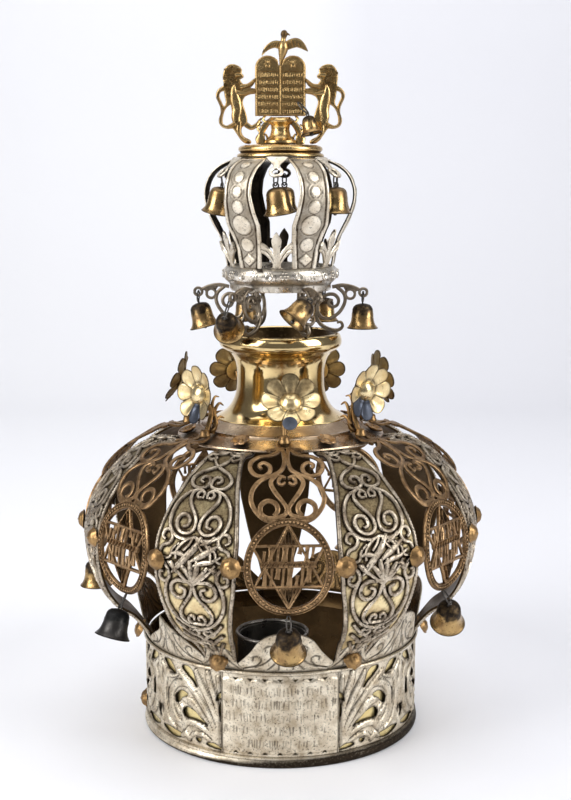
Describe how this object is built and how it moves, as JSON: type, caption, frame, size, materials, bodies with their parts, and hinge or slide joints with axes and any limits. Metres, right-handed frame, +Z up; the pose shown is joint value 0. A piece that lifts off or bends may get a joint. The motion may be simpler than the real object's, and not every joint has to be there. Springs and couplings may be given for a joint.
{
  "type": "torah crown",
  "caption": "Tall openwork ceremonial crown: pierced band, arched filigree staves with star medallions, neck with flowers, small bellied crown, hung bells and a lions-and-tablets finial.",
  "frame": {"origin": "centre of the underside of the base band", "axes": "+Z up along the crown's axis; -Y is the front, with the inscription cartouche; +X is to the right of the front"},
  "size_m": [0.241, 0.2384, 0.4016],
  "materials": {
    "silver": "worn, partly tarnished silver",
    "stave_silver": "silver filigree on gilt backing",
    "old_silver": "dark tarnished silver",
    "pale_gilt": "pale worn gilding",
    "red_gilt": "reddish worn gilding",
    "gilt": "warm gilding",
    "flower_gilt": "pale bright gilding",
    "brass": "polished brass",
    "bell_gilt": "worn gilding with dark tops",
    "dark_iron": "dark metal"
  },
  "bodies": {
    "root": {"base_band": "silver", "base_liner": "pale_gilt", "roller_socket": "dark_iron", "stave_1": "stave_silver", "stave_2": "stave_silver", "stave_3": "stave_silver", "stave_4": "stave_silver", "stave_5": "stave_silver", "stave_6": "stave_silver", "stave_7": "stave_silver", "medallion_1": "red_gilt", "medallion_2": "red_gilt", "medallion_3": "red_gilt", "medallion_4": "red_gilt", "medallion_5": "red_gilt", "medallion_6": "red_gilt", "medallion_7": "red_gilt", "neck": "brass", "flower_1": "flower_gilt", "flower_2": "flower_gilt", "flower_3": "flower_gilt", "flower_4": "flower_gilt", "flower_5": "flower_gilt", "flower_6": "flower_gilt", "flower_7": "flower_gilt", "bracket_1": "old_silver", "bracket_2": "old_silver", "bracket_3": "old_silver", "bracket_4": "old_silver", "bracket_5": "old_silver", "bracket_6": "old_silver", "small_crown": "silver", "top_disc": "gilt", "finial_spool": "gilt", "lions_and_tablets": "gilt", "bird": "gilt", "bell_medallion_1": "bell_gilt", "bell_medallion_2": "bell_gilt", "bell_medallion_4": "bell_gilt", "bell_medallion_5": "bell_gilt", "bell_medallion_6": "bell_gilt", "bell_medallion_7": "bell_gilt", "bell_bracket_1": "bell_gilt", "bell_bracket_2": "bell_gilt", "bell_bracket_3": "bell_gilt", "bell_bracket_4": "bell_gilt", "bell_bracket_5": "bell_gilt", "bell_bracket_6": "bell_gilt", "bell_small_1": "bell_gilt", "bell_small_2": "bell_gilt", "bell_small_3": "bell_gilt", "bell_small_4": "bell_gilt", "bell_small_5": "bell_gilt", "bell_small_6": "bell_gilt", "bell_finial": "bell_gilt"}
  },
  "joints": []
}
